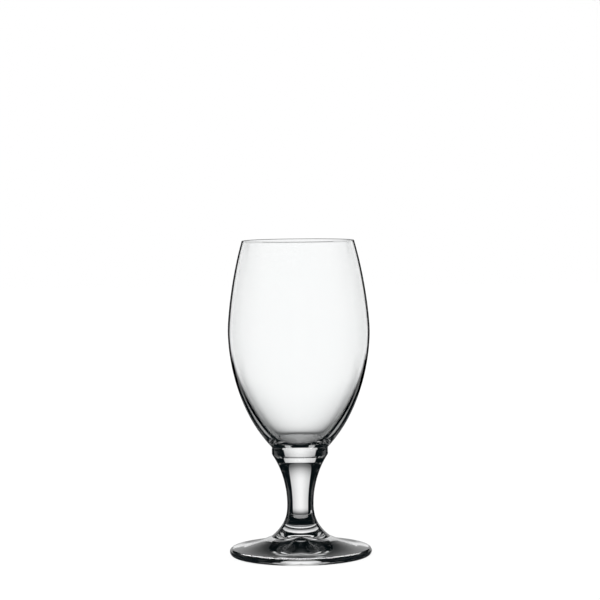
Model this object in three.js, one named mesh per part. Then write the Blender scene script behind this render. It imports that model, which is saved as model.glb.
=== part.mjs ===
// Stemmed beer glass in clear glass: a tulip bowl, a collar, a waisted stem and a round foot.
// Millimetres, +Z up. The origin is the centre of the ring that the foot stands on.
import * as THREE from "three";

// Foot
const footDiameter = 80.4;
const footEdgeThickness = 4.2;
const footHubHeight = 10.4;
const restRingWidth = 6.6;
const footHollowHeight = 6.6;

// Stem, fused to the foot's hub below and to the collar above
const hubDiameter = 33;
const stemLength = 46.7;
const waistDiameter = 15;
const waistHeight = 19.1;

// Collar, fused between the stem and the bowl by two faces of the same size
const seatDiameter = 31.6;
const collarHeight = 4;
const collarBulge = 0.15;

// Bowl
const bowlHeight = 116.9;
const bellyDiameter = 80;
const bellyHeight = 65.9;
const rimDiameter = 63.3;
const rimWall = 0.8;
const bellyWall = 1.1;
const bowlFloorThickness = 4.3;
const bowlFloorDiameter = 25;

// The handles of each curve, as shares of the way outwards and upwards from its start to its end
const bowlUpperShape = [[0, 0.1], [0.2, 0.54]];
const bowlLowerShape = [[0, 0.085], [0.04, 0.622]];
const hollowLowerShape = [[0, 0.584], [0.89, 1]];
const stemUpperShape = [[0, 0.229], [0.209, 0.651]];
const stemLowerShape = [[0, 0.294], [0.012, 0.603]];
const footTopShape = [[0.256, 0.394], [0.504, 0.815]];
const footHollowShape = [[0.584, 0.264], [0.756, 0.403]];

// How finely the curves and the rounds are divided
const roundSteps = 64;
const bowlSteps = 12;
const stemSteps = 9;
const footSteps = 6;
const edgeSteps = 6;
const collarSteps = 4;

// Levels of the joints, from the table up
const hubLevel = footHubHeight;
const stemTopLevel = hubLevel + stemLength;
const collarTopLevel = stemTopLevel + collarHeight;
const rimLevel = collarTopLevel + bowlHeight;

const at = (radius, height) => new THREE.Vector2(radius, height);

// A point that lies the given shares of the way from one point to another.
function between(start, end, [outward, upward]) {
  return at(
    THREE.MathUtils.lerp(start.x, end.x, outward),
    THREE.MathUtils.lerp(start.y, end.y, upward),
  );
}

// The points of a smooth curve from start to end.
function sweep(start, end, [first, second], steps) {
  const firstHandle = between(start, end, first);
  const secondHandle = between(start, end, second);
  return new THREE.CubicBezierCurve(start, firstHandle, secondHandle, end).getPoints(steps);
}

// The points of a half round that goes over from start to end, its ends level with each other or upright.
function halfRound(start, end, steps) {
  const middle = between(start, end, [0.5, 0.5]);
  const radius = start.distanceTo(end) / 2;
  const from = Math.atan2(start.y - middle.y, start.x - middle.x);
  return new THREE.EllipseCurve(middle.x, middle.y, radius, radius, from, from + Math.PI).getPoints(steps);
}

// A solid turned from stretches of outline that follow each other upwards along its outside.
function turned(name, ...stretches) {
  const outline = stretches.flat().filter((p, i, all) => i === 0 || p.distanceTo(all[i - 1]) > 1e-6);
  const geometry = new THREE.LatheGeometry(outline, roundSteps);
  geometry.rotateX(Math.PI / 2);
  const clearGlass = new THREE.MeshStandardMaterial({
    color: 0xf3f6f6,
    roughness: 0.03,
    metalness: 0,
    transparent: true,
    opacity: 0.35,
  });
  const mesh = new THREE.Mesh(geometry, clearGlass);
  mesh.name = name;
  return mesh;
}

// Foot: hollow underneath, standing on a flat ring, with a round edge and a sweeping top up to the hub.
function makeFoot() {
  const edgeRadius = footEdgeThickness / 2;
  const edgeMiddle = footDiameter / 2 - edgeRadius;
  const hollowTop = at(0, footHollowHeight);
  const ringInside = at(edgeMiddle - restRingWidth, 0);
  const edgeBottom = at(edgeMiddle, 0);
  const edgeTop = at(edgeMiddle, footEdgeThickness);
  const hubEdge = at(hubDiameter / 2, hubLevel);
  return turned(
    "foot",
    sweep(ringInside, hollowTop, footHollowShape, footSteps).reverse(),
    halfRound(edgeBottom, edgeTop, edgeSteps),
    sweep(hubEdge, edgeTop, footTopShape, footSteps).reverse(),
    [at(0, hubLevel)],
  );
}

// Stem: solid, drawn in to a waist between the foot's hub and the collar.
function makeStem() {
  const hubEdge = at(hubDiameter / 2, hubLevel);
  const waist = at(waistDiameter / 2, hubLevel + waistHeight);
  const seatEdge = at(seatDiameter / 2, stemTopLevel);
  return turned(
    "stem",
    [at(0, hubLevel)],
    sweep(waist, hubEdge, stemLowerShape, stemSteps).reverse(),
    sweep(waist, seatEdge, stemUpperShape, stemSteps),
    [at(0, stemTopLevel)],
  );
}

// Collar: a thick disc whose side swells a little between the two joint faces.
function makeCollar() {
  const side = [];
  for (let step = 0; step <= collarSteps; step += 1) {
    const rise = step / collarSteps;
    const swell = collarBulge * Math.sin(Math.PI * rise);
    side.push(at(seatDiameter / 2 + swell, stemTopLevel + collarHeight * rise));
  }
  side[collarSteps].y = collarTopLevel;
  return turned("collar", [at(0, stemTopLevel)], side, [at(0, collarTopLevel)]);
}

// Bowl: thin from the lip to the belly, heavy below it, with a round lip and a flat floor in the hollow.
function makeBowl() {
  const bellyLevel = collarTopLevel + bellyHeight;
  const lipLevel = rimLevel - rimWall / 2;
  const seatEdge = at(seatDiameter / 2, collarTopLevel);
  const belly = at(bellyDiameter / 2, bellyLevel);
  const lipOutside = at(rimDiameter / 2, lipLevel);
  const lipInside = at(rimDiameter / 2 - rimWall, lipLevel);
  const bellyInside = at(bellyDiameter / 2 - bellyWall, bellyLevel);
  const floorLevel = collarTopLevel + bowlFloorThickness;
  const floorEdge = at(bowlFloorDiameter / 2, floorLevel);
  return turned(
    "bowl",
    [at(0, collarTopLevel)],
    sweep(belly, seatEdge, bowlLowerShape, bowlSteps).reverse(),
    sweep(belly, lipOutside, bowlUpperShape, bowlSteps),
    halfRound(lipOutside, lipInside, edgeSteps),
    sweep(bellyInside, lipInside, bowlUpperShape, bowlSteps).reverse(),
    sweep(bellyInside, floorEdge, hollowLowerShape, bowlSteps),
    [at(0, floorLevel)],
  );
}

const stemmedGlass = new THREE.Group();
stemmedGlass.add(makeFoot(), makeStem(), makeCollar(), makeBowl());

export default stemmedGlass;
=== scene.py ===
import math

import bmesh
import bpy
from mathutils import Matrix, Vector
from mathutils.geometry import interpolate_bezier


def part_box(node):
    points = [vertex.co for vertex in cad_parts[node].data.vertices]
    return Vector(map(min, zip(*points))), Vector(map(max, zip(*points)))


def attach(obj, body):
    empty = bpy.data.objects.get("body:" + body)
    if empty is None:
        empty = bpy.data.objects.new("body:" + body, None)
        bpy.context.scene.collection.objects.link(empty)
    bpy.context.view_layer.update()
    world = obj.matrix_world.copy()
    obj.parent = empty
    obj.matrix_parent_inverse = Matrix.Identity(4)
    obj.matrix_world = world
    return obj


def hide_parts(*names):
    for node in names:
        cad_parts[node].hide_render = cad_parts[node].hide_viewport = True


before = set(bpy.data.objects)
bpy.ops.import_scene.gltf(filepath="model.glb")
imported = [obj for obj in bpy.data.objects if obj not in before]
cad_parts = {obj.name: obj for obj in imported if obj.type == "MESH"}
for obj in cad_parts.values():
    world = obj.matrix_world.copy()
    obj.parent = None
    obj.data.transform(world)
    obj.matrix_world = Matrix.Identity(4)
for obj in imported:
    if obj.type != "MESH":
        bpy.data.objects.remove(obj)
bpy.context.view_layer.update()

# Sizes of the glass. The joints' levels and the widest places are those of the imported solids.
foot_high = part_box("foot")[1]
stem_low, stem_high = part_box("stem")
collar_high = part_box("collar")[1]
bowl_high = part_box("bowl")[1]

FOOT_RADIUS = foot_high.x
FOOT_EDGE_THICKNESS = 0.0042
FOOT_HUB_LEVEL = stem_low.z
REST_RING_WIDTH = 0.0066
FOOT_HOLLOW_HEIGHT = 0.0066

HUB_RADIUS = 0.0165
STEM_TOP_LEVEL = stem_high.z
WAIST_RADIUS = 0.0075
WAIST_LEVEL = 0.0295

SEAT_RADIUS = 0.0158
COLLAR_TOP_LEVEL = collar_high.z
COLLAR_BULGE = 0.00015

RIM_LEVEL = bowl_high.z
RIM_RADIUS = 0.03165
RIM_WALL = 0.0008
BELLY_RADIUS = bowl_high.x
BELLY_LEVEL = 0.1270
BELLY_WALL = 0.0011
BOWL_FLOOR_THICKNESS = 0.0043
BOWL_FLOOR_LEVEL = COLLAR_TOP_LEVEL + BOWL_FLOOR_THICKNESS
BOWL_FLOOR_RADIUS = 0.0125

# The handles of each curve, as shares of the way outwards and upwards from its start to its end.
BOWL_UPPER_SHAPE = ((0, 0.1), (0.2, 0.54))
BOWL_LOWER_SHAPE = ((0, 0.085), (0.04, 0.622))
HOLLOW_LOWER_SHAPE = ((0, 0.584), (0.89, 1))
STEM_UPPER_SHAPE = ((0, 0.229), (0.209, 0.651))
STEM_LOWER_SHAPE = ((0, 0.294), (0.012, 0.603))
FOOT_TOP_SHAPE = ((0.256, 0.394), (0.504, 0.815))
FOOT_HOLLOW_SHAPE = ((0.584, 0.264), (0.756, 0.403))
STRAIGHT = ((1 / 3, 1 / 3), (2 / 3, 2 / 3))
QUARTER = 0.5523
ROUND_FROM_SIDE = ((0, QUARTER), (1 - QUARTER, 1))
ROUND_FROM_TOP = ((QUARTER, 0), (1, 1 - QUARTER))
BULGE_SHAPE = ((0.5, 0.1), (1, 0.6))

# How finely the pieces are divided.
ROUND_STEPS = 256
FLAT_STEPS = 6
FOOT_STEPS = 64
FOOT_EDGE_STEPS = 16
STEM_LOWER_STEPS = 64
STEM_UPPER_STEPS = 80
COLLAR_STEPS = 12
BOWL_LOWER_STEPS = 80
BOWL_UPPER_STEPS = 48
LIP_STEPS = 8
HOLLOW_STEPS = 96
MERGE_DISTANCE = 1e-6
CREASE_ANGLE = math.radians(14)

# Whether a band of a piece is an open surface or a fused joint face.
SURFACE = False
SEAM = True

# Clear glass. The ripples are counted per metre along X, Y and Z.
WHITE = (1, 1, 1, 1)
GLASS_IOR = 1.52
GLASS_TINT = (0.985, 0.995, 0.995)
RIPPLE_STRENGTH = 0.02
RIPPLE_HEIGHT = 0.0002
RIPPLE_DETAIL = 1
FOOT_RIPPLES = (40, 40, 60)
STEM_RIPPLES = (60, 60, 20)
COLLAR_RIPPLES = (60, 60, 60)
BOWL_RIPPLES = (30, 30, 60)

# Floor
FLOOR_SIZE = 6.0
FLOOR_DROP = 0.0002
FLOOR_COLOUR = (0.8, 0.8, 0.8)
FLOOR_GLOW = 0.88

# Backdrop. Directions are in degrees: to the right from straight behind the glass, and up from the level.
# A panel is its direction and half its width, and for a very soft one half the width of its edge as well.
# A pair of angles is where a fade begins and where it ends.
PANEL_EDGE = 1
BACK_PANEL = (0, 26)
SIDE_PANELS = ((-90, 18), (135, 26))
FLOOR_PANEL = (-45, 12)
ONE_BODY_FLOOR_PANEL = (-45, 4.5)
MIRROR_PANEL = (0, 36, 16)
PANEL_STRENGTH = 1.14
PANEL_SIDE_LEVEL = 0.95
PANEL_DIM_ANGLES = (8, 34)
PANEL_DIM_LEVEL = 0.2
PANEL_TOP_ANGLES = (34, 60)
BACK_FOOT_ANGLES = (-25, -10)
BACK_FOOT_LEVEL = 0.12
SIDE_FOOT_ANGLES = (-45, -25)
SIDE_FOOT_LEVEL = 0.25
FLOOR_PANEL_TOP_ANGLES = (-21, -17)
FLOOR_PANEL_FOOT_ANGLES = (-46, -36)
ONE_BODY_FLOOR_FOOT_ANGLES = (-34, -30)
BELOW_ANGLES = (-74, -66)
BELOW_LEVEL = 0.9
MIRROR_RISE_ANGLES = (0, 5)
MIRROR_LOW_LEVEL = 0.3
MIRROR_HIGH_LEVEL = 0.7
TRAPPED_STRIP = (13, 23)
TRAPPED_TOP_ANGLES = (-18, -12)
TRAPPED_FOOT_ANGLES = (-36, -30)
TRAPPED_LEVEL = 0.5
SOFT_LEVEL = 0.2
FILL_LEVEL = 0.005
FILL_COLOUR = (0.45, 0.85, 1)

# Surfaces that light passes in one body of glass, such as the stem or a single wall, and in two.
ONE_BODY = 2
TWO_BODIES = 4
ONE_BODY_LEVEL = 0.88
ONE_BODY_SIDE_LEVEL = 0.6

# Cards behind the bowl: black strips beside its outline, a slit low down and glowing wings farther out.
CARD_DISTANCE = 0.06
CARD_LOW = 0.02
CARD_MIDDLE = 0.098
CARD_HIGH = 0.2
STRIP_GAP = 0.004
STRIP_REACH = 0.032
STRIP_SOFTNESS = 0.004
SLIT_INSIDE = 0.0435
SLIT_OUTSIDE = 0.054
SLIT_TOP = 0.076
SLIT_BLACK_LOW = 0.058
SLIT_BLACK_INSIDE = 0.024
LOW_BLACK_REACH = 0.08
WING_LOW = 0.05
WING_FULL = 0.075
WING_END = 0.9
WING_GLOW = 0.75
# Slants where the upper card's painted sheen comes in, and where painted shade dims the cards' glow.
SHEEN_SLANTS = (0.2, 0.4)
SHADE_SLANTS = (0.2, 0.9)
OUTLINE_POINTS = 33

# Ring light over the foot's edge
RING_LEVEL = 0.012
RING_RADII = (0.029, 0.04)
RING_STEPS = 64
RING_GLOW = 8
RING_SLANTS = (0.45, 0.55)

# Dim panels beside the stem. Their turns are in degrees to either side of straight behind the glass.
STEM_PANEL_TURNS = (61, 84)
STEM_PANEL_STEPS = 8
STEM_PANEL_RADIUS = 0.07
STEM_PANEL_LOW = 0.014
STEM_PANEL_HIGH = 0.056
STEM_PANEL_GLOW = 0.65
STEM_PANEL_SLANTS = (0.06, 0.14)

# Camera, where the photograph was taken from. Its angles are in degrees.
CAMERA_PLACE = (0.0009, -1.2764, 0.2159)
CAMERA_TILT_DOWN = 3.211
CAMERA_ROLL = -0.58
SENSOR_WIDTH = 36
FOCAL_PIXELS = 2270.3
PICTURE_PIXELS = 600
LIGHT_BOUNCES = 32


# Node trees
def add_node(tree, kind, label="", **settings):
    node = tree.nodes.new(kind)
    node.label = label
    for name, value in settings.items():
        setattr(node, name, value)
    return node


def join(tree, source, target):
    tree.links.new(source, target)


def feed(tree, target, value):
    """Gives a socket either another socket's output or a fixed value."""
    if isinstance(value, bpy.types.NodeSocket):
        tree.links.new(value, target)
    else:
        target.default_value = value


def calculate(tree, operation, *values):
    node = add_node(tree, "ShaderNodeMath", operation=operation)
    for socket, value in zip(node.inputs, values):
        feed(tree, socket, value)
    return node.outputs[0]


def product(tree, *factors):
    result = factors[0]
    for factor in factors[1:]:
        result = calculate(tree, "MULTIPLY", result, factor)
    return result


def mixed(tree, factor, low, high):
    node = add_node(tree, "ShaderNodeMix", data_type="FLOAT")
    feed(tree, node.inputs["Factor"], factor)
    feed(tree, node.inputs["A"], low)
    feed(tree, node.inputs["B"], high)
    return node.outputs["Result"]


def ramp(tree, value, limits, start, end):
    """Goes softly from start to end as a value passes from the first limit to the last."""
    node = add_node(tree, "ShaderNodeMapRange", interpolation_type="SMOOTHSTEP")
    join(tree, value, node.inputs["Value"])
    node.inputs["From Min"].default_value = limits[0]
    node.inputs["From Max"].default_value = limits[1]
    node.inputs["To Min"].default_value = start
    node.inputs["To Max"].default_value = end
    return node.outputs[0]


def at_most(tree, depth, count):
    """1 for light that was bent or mirrored no more than so many times, and 0 for the rest."""
    return calculate(tree, "LESS_THAN", depth, count + 0.5)


def at_least(tree, depth, count):
    """1 for light that was bent or mirrored so many times or more, and 0 for the rest."""
    return calculate(tree, "GREATER_THAN", depth, count - 0.5)


def add_input(tree, name, kind, default=None):
    socket = tree.interface.new_socket(name, in_out="INPUT", socket_type=kind)
    if default is not None:
        socket.default_value = default


# Turned pieces
def turned_band():
    """A band turned about the upright axis from one smooth curve, given by its two ends and two handles."""
    tree = bpy.data.node_groups.new("Turned band", "GeometryNodeTree")
    for name in ("Start", "First handle", "Second handle", "End"):
        add_input(tree, name, "NodeSocketVector")
    add_input(tree, "Steps", "NodeSocketInt", FLAT_STEPS)
    add_input(tree, "Round steps", "NodeSocketInt", ROUND_STEPS)
    tree.interface.new_socket("Band", in_out="OUTPUT", socket_type="NodeSocketGeometry")
    given = add_node(tree, "NodeGroupInput").outputs
    result = add_node(tree, "NodeGroupOutput")

    curve = add_node(tree, "GeometryNodeCurvePrimitiveBezierSegment", "Outline of the band", mode="POSITION")
    join(tree, given["Steps"], curve.inputs["Resolution"])
    join(tree, given["Start"], curve.inputs["Start"])
    join(tree, given["First handle"], curve.inputs["Start Handle"])
    join(tree, given["Second handle"], curve.inputs["End Handle"])
    join(tree, given["End"], curve.inputs["End"])

    sheet_size = 1
    sheet = add_node(tree, "GeometryNodeMeshGrid", "Flat sheet to be turned")
    sheet.inputs["Size X"].default_value = sheet_size
    sheet.inputs["Size Y"].default_value = sheet_size
    join(tree, calculate(tree, "ADD", given["Round steps"], 1), sheet.inputs["Vertices X"])
    join(tree, calculate(tree, "ADD", given["Steps"], 1), sheet.inputs["Vertices Y"])
    place = add_node(tree, "ShaderNodeSeparateXYZ", "Place on the sheet")
    join(tree, add_node(tree, "GeometryNodeInputPosition").outputs[0], place.inputs[0])
    turn = calculate(tree, "MULTIPLY", place.outputs["X"], math.tau)
    along = calculate(tree, "ADD", place.outputs["Y"], sheet_size / 2)

    sample = add_node(tree, "GeometryNodeSampleCurve", "Radius and height", mode="FACTOR")
    sample.use_all_curves = True
    join(tree, curve.outputs["Curve"], sample.inputs["Curves"])
    join(tree, along, sample.inputs["Factor"])
    outline = add_node(tree, "ShaderNodeSeparateXYZ")
    join(tree, sample.outputs["Position"], outline.inputs[0])
    radius = outline.outputs["X"]
    point = add_node(tree, "ShaderNodeCombineXYZ", "Point on the turned surface")
    join(tree, product(tree, radius, calculate(tree, "COSINE", turn)), point.inputs["X"])
    join(tree, product(tree, radius, calculate(tree, "SINE", turn)), point.inputs["Y"])
    join(tree, outline.outputs["Z"], point.inputs["Z"])
    wrap = add_node(tree, "GeometryNodeSetPosition", "Wrap the sheet round the axis")
    join(tree, sheet.outputs["Mesh"], wrap.inputs["Geometry"])
    join(tree, point.outputs[0], wrap.inputs["Position"])
    join(tree, wrap.outputs[0], result.inputs["Band"])
    return tree


def turned_tree(name, sizes, bands, band_group):
    """A closed turned piece. Each band names the sizes at its two ends; a seam band is a fused joint face."""
    tree = bpy.data.node_groups.new(name, "GeometryNodeTree")
    for size_name, size in sizes.items():
        add_input(tree, size_name, "NodeSocketFloat", size)
    add_input(tree, "Round steps", "NodeSocketInt", ROUND_STEPS)
    add_input(tree, "Glass", "NodeSocketMaterial")
    add_input(tree, "Fused seam", "NodeSocketMaterial")
    tree.interface.new_socket("Piece", in_out="OUTPUT", socket_type="NodeSocketGeometry")
    given = add_node(tree, "NodeGroupInput").outputs
    result = add_node(tree, "NodeGroupOutput")

    def corner(radius_name, level_name):
        node = add_node(tree, "ShaderNodeCombineXYZ", f"{radius_name}, {level_name}")
        if radius_name != "Axis":
            join(tree, given[radius_name], node.inputs["X"])
        join(tree, given[level_name], node.inputs["Z"])
        return node.outputs[0]

    def handle(start, way, shares):
        node = add_node(tree, "ShaderNodeVectorMath", operation="MULTIPLY_ADD")
        join(tree, way, node.inputs[0])
        node.inputs[1].default_value = (shares[0], 0, shares[1])
        join(tree, start, node.inputs[2])
        return node.outputs[0]

    whole = add_node(tree, "GeometryNodeJoinGeometry", "All bands")
    for start_names, end_names, shape, steps, is_seam in bands:
        start = corner(*start_names)
        end = corner(*end_names)
        way = add_node(tree, "ShaderNodeVectorMath", operation="SUBTRACT")
        join(tree, end, way.inputs[0])
        join(tree, start, way.inputs[1])
        band = add_node(tree, "GeometryNodeGroup", f"From {start_names[0]} to {end_names[0]}")
        band.node_tree = band_group
        join(tree, start, band.inputs["Start"])
        join(tree, handle(start, way.outputs[0], shape[0]), band.inputs["First handle"])
        join(tree, handle(start, way.outputs[0], shape[1]), band.inputs["Second handle"])
        join(tree, end, band.inputs["End"])
        band.inputs["Steps"].default_value = steps
        join(tree, given["Round steps"], band.inputs["Round steps"])
        mark = add_node(tree, "GeometryNodeStoreNamedAttribute", data_type="BOOLEAN", domain="FACE")
        mark.inputs["Name"].default_value = "fused_seam"
        mark.inputs["Value"].default_value = is_seam
        join(tree, band.outputs["Band"], mark.inputs["Geometry"])
        join(tree, mark.outputs[0], whole.inputs[0])

    merge = add_node(tree, "GeometryNodeMergeByDistance", "Close the seams and poles")
    merge.inputs["Distance"].default_value = MERGE_DISTANCE
    join(tree, whole.outputs[0], merge.inputs["Geometry"])
    smooth = add_node(tree, "GeometryNodeSetShadeSmooth")
    join(tree, merge.outputs[0], smooth.inputs["Geometry"])
    real = add_node(tree, "GeometryNodeRealizeInstances")
    join(tree, smooth.outputs[0], real.inputs[0])
    glass = add_node(tree, "GeometryNodeSetMaterial", "Clear glass")
    join(tree, real.outputs[0], glass.inputs["Geometry"])
    join(tree, given["Glass"], glass.inputs["Material"])
    is_joint = add_node(tree, "GeometryNodeInputNamedAttribute", data_type="BOOLEAN")
    is_joint.inputs["Name"].default_value = "fused_seam"
    seam = add_node(tree, "GeometryNodeSetMaterial", "Fused joint faces")
    join(tree, glass.outputs[0], seam.inputs["Geometry"])
    join(tree, is_joint.outputs["Attribute"], seam.inputs["Selection"])
    join(tree, given["Fused seam"], seam.inputs["Material"])
    join(tree, seam.outputs[0], result.inputs["Piece"])
    return tree


def turned_piece(name, sizes, bands, band_group, glass, seam, node):
    """Runs a piece's tree once and keeps the result as a plain mesh that stands for its solid."""
    piece = bpy.data.objects.new(name, bpy.data.meshes.new(name))
    bpy.context.scene.collection.objects.link(piece)
    tree = turned_tree(name.replace("_", " "), sizes, bands, band_group)
    modifier = piece.modifiers.new("Turned", "NODES")
    modifier.node_group = tree
    settings = {**sizes, "Round steps": ROUND_STEPS, "Glass": glass, "Fused seam": seam}
    for item in tree.interface.items_tree:
        if item.in_out == "INPUT":
            modifier[item.identifier] = settings[item.name]
    depsgraph = bpy.context.evaluated_depsgraph_get()
    mesh = bpy.data.meshes.new_from_object(piece.evaluated_get(depsgraph))
    piece.modifiers.clear()
    piece.data = mesh
    mesh.name = name
    shell = bmesh.new()
    shell.from_mesh(mesh)
    bmesh.ops.recalc_face_normals(shell, faces=shell.faces)
    shell.to_mesh(mesh)
    shell.free()
    mesh.set_sharp_from_angle(angle=CREASE_ANGLE)
    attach(piece, "root")
    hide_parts(node)


# Materials of the glass
def clear_glass(name, ripples):
    """Clear glass with a faint ripple from the mould and a trace of colour that comes and goes."""
    material = bpy.data.materials.new(name)
    material.use_nodes = True
    tree = material.node_tree
    shader = tree.nodes["Principled BSDF"]
    shader.inputs["IOR"].default_value = GLASS_IOR
    shader.inputs["Transmission Weight"].default_value = 1
    shader.inputs["Roughness"].default_value = 0
    place = add_node(tree, "ShaderNodeTexCoord")
    mapping = add_node(tree, "ShaderNodeMapping", "How close the ripples lie")
    mapping.inputs["Scale"].default_value = ripples
    join(tree, place.outputs["Object"], mapping.inputs["Vector"])
    ripple = add_node(tree, "ShaderNodeTexNoise", "Ripple")
    ripple.inputs["Scale"].default_value = 1
    ripple.inputs["Detail"].default_value = RIPPLE_DETAIL
    join(tree, mapping.outputs[0], ripple.inputs["Vector"])
    colour = add_node(tree, "ShaderNodeMix", "Trace of colour", data_type="RGBA")
    join(tree, ripple.outputs["Fac"], colour.inputs["Factor"])
    colour.inputs["A"].default_value = WHITE
    colour.inputs["B"].default_value = (*GLASS_TINT, 1)
    join(tree, colour.outputs["Result"], shader.inputs["Base Color"])
    bump = add_node(tree, "ShaderNodeBump")
    bump.inputs["Strength"].default_value = RIPPLE_STRENGTH
    bump.inputs["Distance"].default_value = RIPPLE_HEIGHT
    join(tree, ripple.outputs["Fac"], bump.inputs["Height"])
    join(tree, bump.outputs[0], shader.inputs["Normal"])
    return material


def blank_material(name):
    material = bpy.data.materials.new(name)
    material.use_nodes = True
    material.node_tree.nodes.clear()
    return material


def end_in(tree, kind, shader):
    """Ends a tree in an output of the given kind."""
    result = add_node(tree, kind)
    join(tree, shader.outputs[0], result.inputs["Surface"])


def added(tree, first, second):
    """The light of two shaders together."""
    both = add_node(tree, "ShaderNodeAddShader")
    join(tree, first.outputs[0], both.inputs[0])
    join(tree, second.outputs[0], both.inputs[1])
    return both


def fused_seam():
    """The face where two pieces melted together: nothing of it shows."""
    material = blank_material("fused_seam")
    tree = material.node_tree
    end_in(tree, "ShaderNodeOutputMaterial", add_node(tree, "ShaderNodeBsdfTransparent"))
    return material


# The four pieces
def make_foot(band, seam):
    """The foot: hollow underneath, on a flat ring, with a round edge and a top that sweeps up to the hub."""
    edge_round = FOOT_EDGE_THICKNESS / 2
    edge_radius = FOOT_RADIUS - edge_round
    sizes = {
        "Edge radius": edge_radius,
        "Rim radius": FOOT_RADIUS,
        "Table": 0,
        "Edge middle": edge_round,
        "Edge top": FOOT_EDGE_THICKNESS,
        "Ring radius": edge_radius - REST_RING_WIDTH,
        "Hub radius": HUB_RADIUS,
        "Hub level": FOOT_HUB_LEVEL,
        "Hollow top": FOOT_HOLLOW_HEIGHT,
    }
    ring = ("Ring radius", "Table")
    edge_low = ("Edge radius", "Table")
    edge_side = ("Rim radius", "Edge middle")
    edge_high = ("Edge radius", "Edge top")
    hub = ("Hub radius", "Hub level")
    bands = [
        (ring, ("Axis", "Hollow top"), FOOT_HOLLOW_SHAPE, FOOT_STEPS, SURFACE),
        (ring, edge_low, STRAIGHT, FLAT_STEPS, SURFACE),
        (edge_low, edge_side, ROUND_FROM_TOP, FOOT_EDGE_STEPS, SURFACE),
        (edge_side, edge_high, ROUND_FROM_SIDE, FOOT_EDGE_STEPS, SURFACE),
        (hub, edge_high, FOOT_TOP_SHAPE, FOOT_STEPS, SURFACE),
        (hub, ("Axis", "Hub level"), STRAIGHT, FLAT_STEPS, SEAM),
    ]
    glass = clear_glass("foot_clear_glass", FOOT_RIPPLES)
    turned_piece("clear_foot", sizes, bands, band, glass, seam, "foot")


def make_stem(band, seam):
    """The solid stem, drawn in to a waist between the foot's hub and the collar."""
    sizes = {
        "Hub radius": HUB_RADIUS,
        "Hub level": FOOT_HUB_LEVEL,
        "Waist radius": WAIST_RADIUS,
        "Waist level": WAIST_LEVEL,
        "Seat radius": SEAT_RADIUS,
        "Stem top": STEM_TOP_LEVEL,
    }
    hub = ("Hub radius", "Hub level")
    waist = ("Waist radius", "Waist level")
    seat = ("Seat radius", "Stem top")
    bands = [
        (("Axis", "Hub level"), hub, STRAIGHT, FLAT_STEPS, SEAM),
        (waist, hub, STEM_LOWER_SHAPE, STEM_LOWER_STEPS, SURFACE),
        (waist, seat, STEM_UPPER_SHAPE, STEM_UPPER_STEPS, SURFACE),
        (seat, ("Axis", "Stem top"), STRAIGHT, FLAT_STEPS, SEAM),
    ]
    glass = clear_glass("stem_clear_glass", STEM_RIPPLES)
    turned_piece("clear_stem", sizes, bands, band, glass, seam, "stem")


def make_collar(band, seam):
    """The thick disc between the stem and the bowl, its side a little swollen."""
    sizes = {
        "Seat radius": SEAT_RADIUS,
        "Bulge radius": SEAT_RADIUS + COLLAR_BULGE,
        "Stem top": STEM_TOP_LEVEL,
        "Middle": (STEM_TOP_LEVEL + COLLAR_TOP_LEVEL) / 2,
        "Collar top": COLLAR_TOP_LEVEL,
    }
    low_seat = ("Seat radius", "Stem top")
    bulge = ("Bulge radius", "Middle")
    high_seat = ("Seat radius", "Collar top")
    bands = [
        (("Axis", "Stem top"), low_seat, STRAIGHT, FLAT_STEPS, SEAM),
        (low_seat, bulge, BULGE_SHAPE, COLLAR_STEPS, SURFACE),
        (high_seat, bulge, BULGE_SHAPE, COLLAR_STEPS, SURFACE),
        (high_seat, ("Axis", "Collar top"), STRAIGHT, FLAT_STEPS, SEAM),
    ]
    glass = clear_glass("collar_clear_glass", COLLAR_RIPPLES)
    turned_piece("clear_collar", sizes, bands, band, glass, seam, "collar")


def make_bowl(band, seam):
    """The tulip bowl: thin from the lip to the belly, heavy below it, with a round lip and a flat floor."""
    sizes = {
        "Seat radius": SEAT_RADIUS,
        "Seat level": COLLAR_TOP_LEVEL,
        "Belly radius": BELLY_RADIUS,
        "Belly level": BELLY_LEVEL,
        "Rim radius": RIM_RADIUS,
        "Lip level": RIM_LEVEL - RIM_WALL / 2,
        "Lip middle": RIM_RADIUS - RIM_WALL / 2,
        "Rim level": RIM_LEVEL,
        "Rim inside": RIM_RADIUS - RIM_WALL,
        "Belly inside": BELLY_RADIUS - BELLY_WALL,
        "Floor radius": BOWL_FLOOR_RADIUS,
        "Floor level": BOWL_FLOOR_LEVEL,
    }
    seat = ("Seat radius", "Seat level")
    belly = ("Belly radius", "Belly level")
    lip_outside = ("Rim radius", "Lip level")
    lip_top = ("Lip middle", "Rim level")
    lip_inside = ("Rim inside", "Lip level")
    belly_inside = ("Belly inside", "Belly level")
    floor_edge = ("Floor radius", "Floor level")
    bands = [
        (("Axis", "Seat level"), seat, STRAIGHT, FLAT_STEPS, SEAM),
        (belly, seat, BOWL_LOWER_SHAPE, BOWL_LOWER_STEPS, SURFACE),
        (belly, lip_outside, BOWL_UPPER_SHAPE, BOWL_UPPER_STEPS, SURFACE),
        (lip_outside, lip_top, ROUND_FROM_SIDE, LIP_STEPS, SURFACE),
        (lip_inside, lip_top, ROUND_FROM_SIDE, LIP_STEPS, SURFACE),
        (belly_inside, lip_inside, BOWL_UPPER_SHAPE, BOWL_UPPER_STEPS, SURFACE),
        (belly_inside, floor_edge, HOLLOW_LOWER_SHAPE, HOLLOW_STEPS, SURFACE),
        (floor_edge, ("Axis", "Floor level"), STRAIGHT, FLAT_STEPS, SURFACE),
    ]
    glass = clear_glass("bowl_clear_glass", BOWL_RIPPLES)
    turned_piece("clear_bowl", sizes, bands, band, glass, seam, "bowl")


def make_glass():
    """The four pieces, from the table up."""
    band = turned_band()
    seam = fused_seam()
    for make_piece in (make_foot, make_stem, make_collar, make_bowl):
        make_piece(band, seam)


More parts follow.
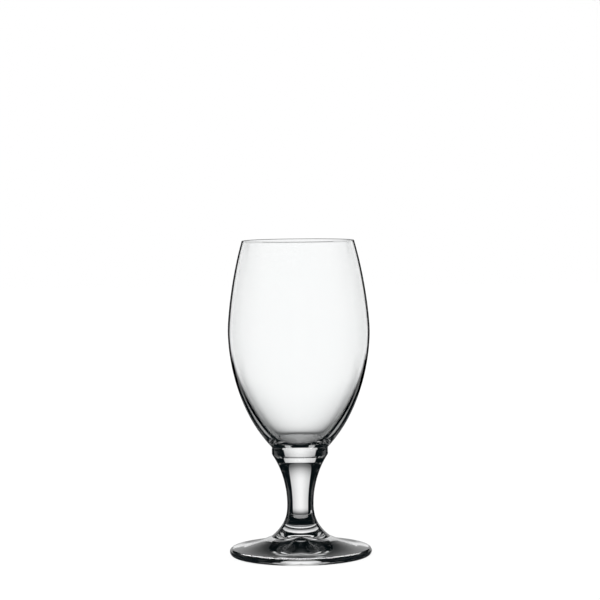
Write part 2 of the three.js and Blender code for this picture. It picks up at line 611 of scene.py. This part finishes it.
# Studio: floor
def staged_mesh(name, points, faces, material):
    """A flat or bent sheet of the studio."""
    mesh = bpy.data.meshes.new(name)
    mesh.from_pydata(points, [], faces)
    mesh.materials.append(material)
    sheet = bpy.data.objects.new(name, mesh)
    bpy.context.scene.collection.objects.link(sheet)
    return sheet


def pale_floor():
    """A matt pale floor that the camera sees as white, with the glass's shadow on it."""
    material = blank_material("pale_floor")
    tree = material.node_tree
    matt = add_node(tree, "ShaderNodeBsdfDiffuse")
    matt.inputs["Color"].default_value = (*FLOOR_COLOUR, 1)
    glow = add_node(tree, "ShaderNodeEmission")
    seen = add_node(tree, "ShaderNodeLightPath").outputs["Is Camera Ray"]
    join(tree, product(tree, seen, FLOOR_GLOW), glow.inputs["Strength"])
    end_in(tree, "ShaderNodeOutputMaterial", added(tree, matt, glow))
    return material


def make_floor():
    half = FLOOR_SIZE / 2
    corners = [(x, y, -FLOOR_DROP) for x, y in ((-half, -half), (half, -half), (half, half), (-half, half))]
    floor = staged_mesh("floor", corners, [(0, 1, 2, 3)], pale_floor())
    floor.visible_transmission = False
    floor.visible_glossy = False


# Studio: backdrop
def fade(tree, angle, angles, start, end):
    """Goes softly from start to end as an angle passes between two others, in degrees."""
    return ramp(tree, angle, [math.radians(limit) for limit in angles], start, end)


def soft_edge(angle, half=PANEL_EDGE):
    """The angles where a soft edge begins and ends."""
    return (angle - half, angle + half)


class Ray:
    """What the backdrop knows of a ray of light: its direction, and what the glass did to it."""

    def __init__(self, tree):
        self.tree = tree
        split = add_node(tree, "ShaderNodeSeparateXYZ", "Direction")
        join(tree, add_node(tree, "ShaderNodeTexCoord").outputs["Generated"], split.inputs[0])
        self.way = split.outputs
        self.above = calculate(tree, "ARCSINE", self.way["Z"])
        path = add_node(tree, "ShaderNodeLightPath").outputs
        self.seen = path["Is Camera Ray"]
        self.passed = path["Is Transmission Ray"]
        self.surfaces = path["Transmission Depth"]
        self.mirrorings = path["Glossy Depth"]
        self.bent = calculate(tree, "MAXIMUM", path["Is Glossy Ray"], self.passed)
        self.one_body = product(tree, self.passed, at_most(tree, self.surfaces, ONE_BODY))
        self.mirrored_outside = product(
            tree,
            path["Is Glossy Ray"],
            calculate(tree, "SUBTRACT", 1, self.passed),
            at_most(tree, self.surfaces, 0),
        )

    def aside(self, azimuth):
        """How far the ray's direction lies to either side of an azimuth."""
        turn = math.radians(azimuth)
        away = product(self.tree, self.way["Y"], math.cos(turn))
        across = product(self.tree, self.way["Y"], -math.sin(turn))
        ahead = calculate(self.tree, "MULTIPLY_ADD", self.way["X"], math.sin(turn), away)
        beside = calculate(self.tree, "MULTIPLY_ADD", self.way["X"], math.cos(turn), across)
        return calculate(self.tree, "ABSOLUTE", calculate(self.tree, "ARCTAN2", beside, ahead))


def upright_panel(ray, azimuth, half_width, edge=PANEL_EDGE):
    """A tall lit panel that stands in the given direction, with soft upright edges and dimmer sides."""
    tree = ray.tree
    aside = ray.aside(azimuth)
    shape = fade(tree, aside, soft_edge(half_width, edge), 1, 0)
    level = fade(tree, aside, (0, half_width), 1, PANEL_SIDE_LEVEL)
    one_body_level = fade(tree, aside, (0, half_width), ONE_BODY_LEVEL, ONE_BODY_SIDE_LEVEL)
    return product(tree, shape, mixed(tree, ray.one_body, level, one_body_level))


def raised_light(ray):
    """The panels' strength, which falls off upwards."""
    dimming = fade(ray.tree, ray.above, PANEL_DIM_ANGLES, 1, PANEL_DIM_LEVEL)
    ending = fade(ray.tree, ray.above, PANEL_TOP_ANGLES, 1, 0)
    return product(ray.tree, dimming, ending, PANEL_STRENGTH)


def floor_light(ray):
    """A panel low down to one side, and light from straight below that doesn't reach through a third body."""
    tree = ray.tree
    panel = product(
        tree,
        upright_panel(ray, *FLOOR_PANEL),
        fade(tree, ray.above, FLOOR_PANEL_FOOT_ANGLES, 0, 1),
    )
    one_body_panel = product(
        tree,
        upright_panel(ray, *ONE_BODY_FLOOR_PANEL),
        fade(tree, ray.above, ONE_BODY_FLOOR_FOOT_ANGLES, 0, 1),
    )
    either = mixed(tree, ray.one_body, panel, one_body_panel)
    beside = product(tree, either, fade(tree, ray.above, FLOOR_PANEL_TOP_ANGLES, 1, 0))
    below = product(
        tree,
        at_most(tree, ray.surfaces, TWO_BODIES),
        fade(tree, ray.above, BELOW_ANGLES, BELOW_LEVEL, 0),
    )
    return calculate(tree, "ADD", beside, below)


def surrounding_light(ray, raised):
    """The light beside and below the glass, for light that went straight through without being mirrored."""
    tree = ray.tree
    total = floor_light(ray)
    for place in SIDE_PANELS:
        foot = fade(tree, ray.above, SIDE_FOOT_ANGLES, SIDE_FOOT_LEVEL, 1)
        total = calculate(tree, "ADD", total, product(tree, upright_panel(ray, *place), foot, raised))
    return product(tree, total, at_most(tree, ray.mirrorings, 0))


def mirrored_light(ray, back, raised):
    """The back panel as the outside of the glass mirrors it: dim when low, and very soft when high."""
    tree = ray.tree
    low = product(tree, back, MIRROR_LOW_LEVEL)
    high = product(tree, upright_panel(ray, *MIRROR_PANEL), raised, MIRROR_HIGH_LEVEL)
    return mixed(tree, fade(tree, ray.above, MIRROR_RISE_ANGLES, 0, 1), low, high)


def trapped_light(ray, otherwise):
    """Two low strips for light that was mirrored inside the glass before it left it downwards."""
    tree = ray.tree
    aside = ray.aside(BACK_PANEL[0])
    strips = product(
        tree,
        fade(tree, aside, soft_edge(TRAPPED_STRIP[0]), 0, 1),
        fade(tree, aside, soft_edge(TRAPPED_STRIP[1]), 1, 0),
        fade(tree, ray.above, TRAPPED_FOOT_ANGLES, 0, 1),
        TRAPPED_LEVEL,
    )
    trapped = product(
        tree,
        ray.passed,
        at_least(tree, ray.mirrorings, 1),
        fade(tree, ray.above, TRAPPED_TOP_ANGLES, 1, 0),
    )
    return mixed(tree, trapped, otherwise, strips)


def light_backdrop():
    """White for the camera, lit panels for light that the glass bends, and soft light for all the rest."""
    world = bpy.data.worlds.new("studio")
    bpy.context.scene.world = world
    world.use_nodes = True
    tree = world.node_tree
    tree.nodes.clear()
    ray = Ray(tree)
    raised = raised_light(ray)
    back = product(
        tree,
        upright_panel(ray, *BACK_PANEL),
        fade(tree, ray.above, BACK_FOOT_ANGLES, BACK_FOOT_LEVEL, 1),
        raised,
    )
    behind = mixed(tree, ray.mirrored_outside, back, mirrored_light(ray, back, raised))
    behind = trapped_light(ray, behind)
    panels = calculate(tree, "ADD", behind, surrounding_light(ray, raised))
    level = mixed(tree, ray.bent, SOFT_LEVEL, panels)
    backdrop = add_node(tree, "ShaderNodeBackground")
    backdrop.inputs["Color"].default_value = WHITE
    join(tree, mixed(tree, ray.seen, level, 1), backdrop.inputs["Strength"])
    fill = add_node(tree, "ShaderNodeBackground", "Dim cool light from all round")
    fill.inputs["Color"].default_value = (*FILL_COLOUR, 1)
    join(tree, product(tree, ray.bent, FILL_LEVEL), fill.inputs["Strength"])
    end_in(tree, "ShaderNodeOutputWorld", added(tree, backdrop, fill))


# Studio: sheets that show only in the glass
def glow_in_glass(name, describe):
    """A material that glows for some of the light and is clear to the rest.

    The description gives which light it glows for, and how strongly.
    """
    material = blank_material(name)
    tree = material.node_tree
    path = add_node(tree, "ShaderNodeLightPath").outputs
    slant = add_node(tree, "ShaderNodeLayerWeight").outputs["Facing"]
    shown, strength = describe(tree, path, slant)
    clear = add_node(tree, "ShaderNodeBsdfTransparent")
    glow = add_node(tree, "ShaderNodeEmission")
    feed(tree, glow.inputs["Strength"], strength)
    blend = add_node(tree, "ShaderNodeMixShader")
    join(tree, shown, blend.inputs["Fac"])
    join(tree, clear.outputs[0], blend.inputs[1])
    join(tree, glow.outputs[0], blend.inputs[2])
    end_in(tree, "ShaderNodeOutputMaterial", blend)
    material.cycles.emission_sampling = "NONE"
    return material


def mirrored_by_outside(tree, path):
    """1 for light that the outside of the glass mirrored, and 0 for the rest."""
    return product(
        tree,
        at_least(tree, path["Glossy Depth"], 1),
        at_most(tree, path["Transmission Depth"], 0),
    )


def glass_only_sheet(name, points, faces, material):
    """A sheet that neither the camera nor the floor sees."""
    sheet = staged_mesh(name, points, faces, material)
    sheet.visible_camera = False
    sheet.visible_diffuse = False
    sheet.visible_shadow = False
    return sheet


# Studio: cards behind the bowl, which only show in light that the glass mirrors
def painted_shade_card(tree, path, slant):
    """A card that glows as it is painted, with painted shade that darkens it at a slant."""
    paint = add_node(tree, "ShaderNodeAttribute", "How bright the card is here", attribute_name="glow")
    # Painted shade: the card's glow fades as it is seen at a steeper slant.
    shade = ramp(tree, slant, SHADE_SLANTS, 1, 0)
    return at_least(tree, path["Glossy Depth"], 1), product(tree, paint.outputs["Fac"], shade)


def painted_sheen_card(tree, path, slant):
    """A card that glows as it is painted, with a painted sheen where it is seen at a slant and painted shade
    that dims it as the slant grows.
    """
    paint = add_node(tree, "ShaderNodeAttribute", "How bright the card is here", attribute_name="glow")
    # Painted sheen: the card glows brighter where it is seen at a slant.
    sheen = ramp(tree, slant, SHEEN_SLANTS, 0, WING_GLOW)
    # Painted shade: the glow fades as the slant grows.
    shade = ramp(tree, slant, SHADE_SLANTS, 1, 0)
    bright = calculate(tree, "MAXIMUM", paint.outputs["Fac"], sheen)
    return at_least(tree, path["Glossy Depth"], 1), product(tree, bright, shade)


def bowl_outline():
    """Heights and radii along the bowl's outside, from the collar to the rim."""
    belly = Vector((BELLY_RADIUS, 0, BELLY_LEVEL))
    points = []
    for end, shape in (
        (Vector((SEAT_RADIUS, 0, COLLAR_TOP_LEVEL)), BOWL_LOWER_SHAPE),
        (Vector((RIM_RADIUS, 0, RIM_LEVEL)), BOWL_UPPER_SHAPE),
    ):
        handles = [belly + (end - belly) * Vector((out, 0, up)) for out, up in shape]
        points += interpolate_bezier(belly, *handles, end, OUTLINE_POINTS)
    return sorted(((p.z, p.x) for p in points), key=lambda pair: pair[0])


def upper_card_rows(outline):
    """A black strip that follows the bowl's outline, and a glowing wing outside it."""
    rows = []
    for level, radius in outline + [(CARD_HIGH, RIM_RADIUS)]:
        if level > CARD_MIDDLE:
            strip_end = radius + STRIP_REACH
            columns = (
                (radius + STRIP_GAP, 0),
                (strip_end, 0),
                (strip_end + STRIP_SOFTNESS, WING_GLOW),
                (WING_END, WING_GLOW),
            )
            rows.append((level, columns))
    return rows


def lower_outer_rows(top):
    """Black outside the slit, and a wing farther out that fades downwards."""
    rows = []
    for level, glow in ((CARD_LOW, 0), (WING_LOW, 0), (WING_FULL, WING_GLOW), (top, WING_GLOW)):
        wing_start = LOW_BLACK_REACH + STRIP_SOFTNESS
        columns = ((SLIT_OUTSIDE, 0), (LOW_BLACK_REACH, 0), (wing_start, glow), (WING_END, glow))
        rows.append((level, columns))
    return rows


def lower_inner_rows(outline, top):
    """Black between the bowl's outline and the slit, which it closes above the slit's top."""
    rows = [(SLIT_BLACK_LOW, ((SLIT_BLACK_INSIDE, 0), (SLIT_INSIDE, 0)))]
    for level, radius in outline:
        if level <= top:
            inside = max(SLIT_BLACK_INSIDE, radius + STRIP_GAP)
            outside = SLIT_INSIDE if level < SLIT_TOP else SLIT_OUTSIDE
            rows.append((level, ((inside, 0), (outside, 0))))
    return rows


def make_card(name, rows, material):
    """An upright card on both sides of the bowl.

    A row is a height, and along it pairs of a distance from the axis and a glow.
    """
    points = []
    glows = []
    faces = []
    across = len(rows[0][1])
    for side in (-1, 1):
        first = len(points)
        for level, columns in rows:
            for reach, glow in columns:
                points.append((side * reach, CARD_DISTANCE, level))
                glows.append(glow)
        for row in range(len(rows) - 1):
            for column in range(across - 1):
                corner = first + row * across + column
                faces.append((corner, corner + 1, corner + across + 1, corner + across))
    card = glass_only_sheet(name, points, faces, material)
    card.data.attributes.new("glow", "FLOAT", "POINT").data.foreach_set("value", glows)


def make_cards():
    outline = bowl_outline()
    upper_rows = upper_card_rows(outline)
    lower_top = upper_rows[0][0]
    # The cards glow as painted; the upper one has a painted sheen, and all have painted shade at a slant.
    sheen_card_material = glow_in_glass("painted_sheen_card", painted_sheen_card)
    # This material's painted shade darkens the lower cards' glow at a slant.
    matt = glow_in_glass("painted_shade_card", painted_shade_card)
    make_card("upper_card_0", upper_rows, sheen_card_material)
    make_card("lower_outer_card_0", lower_outer_rows(lower_top), matt)
    make_card("lower_inner_card_0", lower_inner_rows(outline, lower_top), matt)


# Studio: a ring light over the foot's edge, which only shows in light mirrored by the foot
def ring_light(tree, path, slant):
    """A light that shows from below, where it is looked at steeply."""
    steep = ramp(tree, slant, RING_SLANTS, 1, 0)
    from_below = add_node(tree, "ShaderNodeNewGeometry").outputs["Backfacing"]
    return product(tree, mirrored_by_outside(tree, path), from_below, steep), RING_GLOW


def make_ring_light():
    points = []
    faces = []
    count = RING_STEPS * len(RING_RADII)
    for step in range(RING_STEPS):
        angle = math.tau * step / RING_STEPS
        points += [(r * math.cos(angle), r * math.sin(angle), RING_LEVEL) for r in RING_RADII]
        inside = step * len(RING_RADII)
        faces.append((inside, inside + 1, (inside + 3) % count, (inside + 2) % count))
    glass_only_sheet("ring_light", points, faces, glow_in_glass("ring_light", ring_light))


# Studio: dim panels beside the stem, which only show in light mirrored by the stem's outside
def stem_panel(tree, path, slant):
    """A dim panel that shows only to light that meets it squarely."""
    square = ramp(tree, slant, STEM_PANEL_SLANTS, 1, 0)
    return product(tree, mirrored_by_outside(tree, path), square), STEM_PANEL_GLOW


def make_stem_panels():
    points = []
    faces = []
    first_turn, last_turn = STEM_PANEL_TURNS
    for side in (-1, 1):
        for step in range(STEM_PANEL_STEPS + 1):
            turn = math.radians(first_turn + (last_turn - first_turn) * step / STEM_PANEL_STEPS)
            x = side * STEM_PANEL_RADIUS * math.sin(turn)
            y = STEM_PANEL_RADIUS * math.cos(turn)
            points += [(x, y, STEM_PANEL_LOW), (x, y, STEM_PANEL_HIGH)]
            if step > 0:
                last = len(points) - 1
                faces.append((last - 3, last - 1, last, last - 2))
    glass_only_sheet("stem_panel", points, faces, glow_in_glass("stem_panel", stem_panel))


def place_camera():
    lens = bpy.data.cameras.new("camera")
    lens.sensor_fit = "HORIZONTAL"
    lens.sensor_width = SENSOR_WIDTH
    lens.lens = SENSOR_WIDTH * FOCAL_PIXELS / PICTURE_PIXELS
    camera = bpy.data.objects.new("camera", lens)
    bpy.context.scene.collection.objects.link(camera)
    camera.matrix_world = (
        Matrix.Translation(CAMERA_PLACE)
        @ Matrix.Rotation(math.radians(90 - CAMERA_TILT_DOWN), 4, "X")
        @ Matrix.Rotation(math.radians(CAMERA_ROLL), 4, "Z")
    )
    bpy.context.scene.camera = camera


def follow_light_through_glass():
    """Lets light pass through many walls of glass, and keeps the tones as they are."""
    scene = bpy.context.scene
    scene.view_settings.view_transform = "Standard"
    scene.cycles.max_bounces = LIGHT_BOUNCES
    scene.cycles.transmission_bounces = LIGHT_BOUNCES
    scene.cycles.glossy_bounces = LIGHT_BOUNCES
    scene.cycles.transparent_max_bounces = LIGHT_BOUNCES
    scene.cycles.caustics_reflective = True
    scene.cycles.caustics_refractive = True
    scene.cycles.blur_glossy = 0
    scene.cycles.denoising_input_passes = "RGB"


# The glass, and the studio round it
make_glass()
make_floor()
light_backdrop()
make_cards()
make_ring_light()
make_stem_panels()
place_camera()
follow_light_through_glass()
